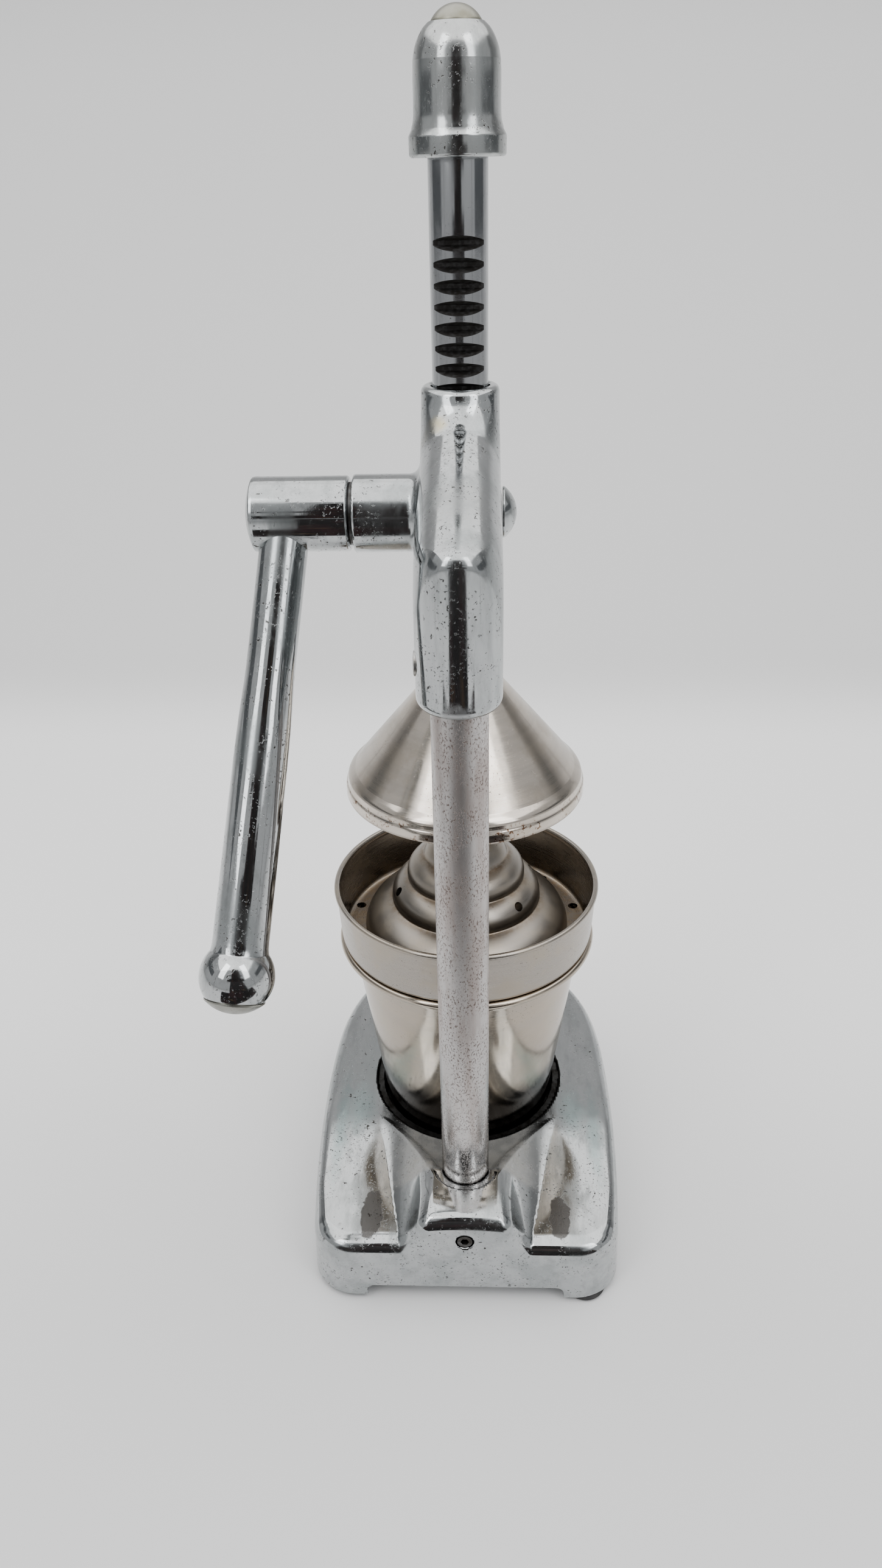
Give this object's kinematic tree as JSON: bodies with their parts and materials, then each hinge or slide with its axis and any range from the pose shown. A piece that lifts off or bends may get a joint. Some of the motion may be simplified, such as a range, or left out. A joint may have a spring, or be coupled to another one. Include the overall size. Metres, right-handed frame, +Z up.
{
  "type": "hand lever citrus press",
  "caption": "Free-standing chrome hand press with a column, geared lever and rack, a cone that presses fruit onto a stepped reamer, a strainer bowl, and a cup in a cast base.",
  "frame": {"origin": "on the table, under the rear foot on the lever side, 6 mm in from the foot's middle; the vertical axis shared by the rack, reamer and cup stands at x -43 mm, y -83 mm", "axes": "+Z up; -Y to the front, where the cup and the user are; +Y to the rear, where the column stands; +X to the lever side"},
  "size_m": [0.1549, 0.1999, 0.4514],
  "materials": {
    "cast_chrome": "bright chrome on a casting, scuffed and finely pitted",
    "lever_chrome": "bright chrome on a turned lever, finely pitted",
    "rack_chrome": "worn chrome with dark grease in the tooth gaps",
    "column_chrome": "dull chrome with brownish pits",
    "stainless": "satin stainless sheet with warm stains",
    "steel": "machined and greased",
    "dark_steel": "oiled black steel",
    "zinc_screw": "zinc plated",
    "bronze": "oiled bearing bronze",
    "grey_plug": "dull grey-green plug",
    "black_rubber": "moulded"
  },
  "bodies": {
    "base": {"base_casting": "cast_chrome", "rubber_feet": "black_rubber", "foot_screws": "zinc_screw", "column": "column_chrome", "column_set_screw": "dark_steel", "head_casting": "cast_chrome", "head_set_screw": "dark_steel", "shaft_bush_outer": "bronze", "shaft_bush_inner": "bronze"},
    "lever": {"pinion_shaft": "steel", "pinion_gear": "steel", "gear_key": "steel", "shaft_end_button": "cast_chrome", "thrust_washer": "dark_steel", "lever_hub": "cast_chrome", "lever_rod": "lever_chrome", "handle_end_plug": "grey_plug"},
    "rack": {"rack_bar": "rack_chrome", "top_cap": "cast_chrome", "cap_nut": "zinc_screw", "top_cap_plug": "grey_plug", "press_cone": "stainless", "cone_backing_washer": "zinc_screw", "cone_washer": "zinc_screw", "cone_screw": "zinc_screw"},
    "cup": {"juice_cup": "stainless"},
    "strainer": {"strainer_bowl": "stainless", "reamer_cone": "stainless"}
  },
  "joints": [
    {"name": "lever_turn", "type": "hinge", "parent": "base", "child": "lever", "pos_m": [-0.043, -0.0629, 0.3064], "axis": [1, 0, 0], "range_deg": [-50, 270]},
    {"name": "rack_slide", "type": "slide", "parent": "base", "child": "rack", "axis": [0, 0, -1], "range_m": [-0.0106, 0.0567]},
    {"name": "cup_lift", "type": "slide", "parent": "base", "child": "cup", "axis": [0, 0, 1], "range_m": [0, 0.0025]},
    {"name": "strainer_lift", "type": "slide", "parent": "cup", "child": "strainer", "axis": [0, 0, 1], "range_m": [0, 0.0025]}
  ],
  "couplings": [
    {"joint": "rack_slide", "follows": "lever_turn", "m_per_rad": 0.012}
  ]
}
